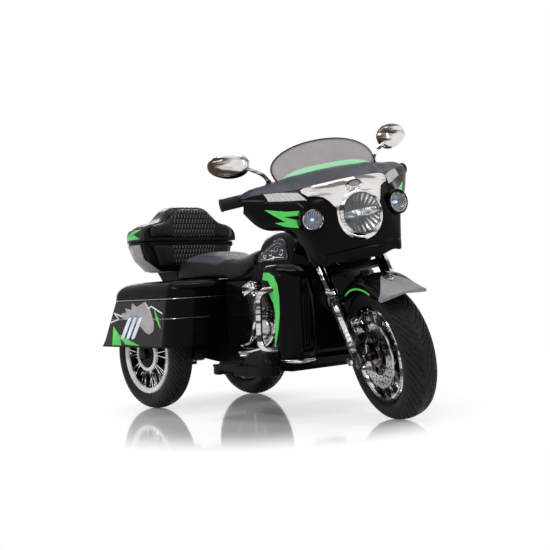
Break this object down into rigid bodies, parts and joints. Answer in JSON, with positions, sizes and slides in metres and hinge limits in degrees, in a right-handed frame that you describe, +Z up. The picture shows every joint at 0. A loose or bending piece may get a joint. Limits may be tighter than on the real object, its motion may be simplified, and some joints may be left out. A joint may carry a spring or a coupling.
{
  "type": "battery ride-on touring trike for a child",
  "caption": "Child's battery ride-on trike in touring style: batwing fairing, side panniers, trunk with backrest, three spoked wheels.",
  "frame": {"origin": "bottom centre of the whole trike's bounding box, on the ground", "axes": "+X forward, +Y to the rider's left, +Z up"},
  "size_m": [1.0488, 0.5246, 0.7179],
  "materials": {
    "black_gloss": "gloss",
    "black_satin": "satin",
    "black_vinyl": "satin",
    "black_grip": "matte",
    "chrome": "gloss",
    "dark_steel": "satin",
    "tyre": "matte",
    "clear_lens": "gloss",
    "smoked": "gloss",
    "red_lens": "gloss"
  },
  "bodies": {
    "chassis": {"body_shell": "black_gloss", "belly_pan": "black_satin", "battery": "black_satin", "head_tube": "dark_steel", "tank_cover": "black_gloss", "seat": "black_vinyl", "rear_deck": "black_satin", "trunk_box": "black_satin", "trunk_back_pad": "black_vinyl", "foot_pedal": "chrome", "rear_axle": "dark_steel", "pannier_right": "black_gloss", "pannier_left": "black_gloss", "pannier_lid_right": "black_gloss", "pannier_lid_left": "black_gloss", "tail_light_right": "red_lens", "tail_light_left": "red_lens", "leg_shield_right": "black_gloss", "leg_shield_left": "black_gloss", "engine_right": "chrome", "engine_left": "chrome", "crash_bar_right": "chrome", "crash_bar_left": "chrome", "foot_board_right": "black_satin", "foot_board_left": "black_satin", "gearbox_right": "black_satin", "gearbox_left": "black_satin"},
    "steering": {"fork_leg_right": "chrome", "fork_leg_left": "chrome", "front_axle": "dark_steel", "steering_stem": "dark_steel", "fairing_bracket": "dark_steel", "brake_caliper": "chrome", "front_fender": "black_gloss", "fender_ornament": "chrome", "fairing_shell": "black_gloss", "headlight": "clear_lens", "fairing_chrome": "chrome", "windshield": "smoked", "dash_panel": "black_satin", "handlebar": "dark_steel", "spot_lamp_right": "clear_lens", "spot_lamp_left": "clear_lens", "turn_signal_right": "clear_lens", "turn_signal_left": "clear_lens", "grip_right": "black_grip", "grip_left": "black_grip", "mirror_right": "chrome", "mirror_left": "chrome"},
    "front_wheel": {"front_tyre": "tyre", "front_rim": "chrome", "brake_disc": "chrome"},
    "rear_wheel_right": {"rear_tyre_right": "tyre", "rear_rim_right": "chrome"},
    "rear_wheel_left": {"rear_tyre_left": "tyre", "rear_rim_left": "chrome"},
    "trunk_lid": {"trunk_lid": "black_satin", "backrest_pad": "black_vinyl"}
  },
  "joints": [
    {"name": "steering", "type": "hinge", "parent": "chassis", "child": "steering", "pos_m": [0.3578, 0.02228, 0.14592], "axis": [-0.454, 0, 0.891], "range_deg": [-13, 57]},
    {"name": "front_wheel_spin", "type": "hinge", "parent": "steering", "child": "front_wheel", "pos_m": [0.37433, 0.01479, 0.15434], "axis": [0.3338, 0.9272, 0.1701], "continuous": true},
    {"name": "rear_wheel_right_spin", "type": "hinge", "parent": "chassis", "child": "rear_wheel_right", "pos_m": [-0.34638, -0.14772, 0.15], "axis": [0, 1, 0], "continuous": true},
    {"name": "rear_wheel_left_spin", "type": "hinge", "parent": "chassis", "child": "rear_wheel_left", "pos_m": [-0.34638, 0.19229, 0.15], "axis": [0, 1, 0], "continuous": true},
    {"name": "trunk_lid_hinge", "type": "hinge", "parent": "chassis", "child": "trunk_lid", "pos_m": [-0.51838, 0.02228, 0.459], "axis": [0, -1, 0], "range_deg": [0, 75]}
  ]
}
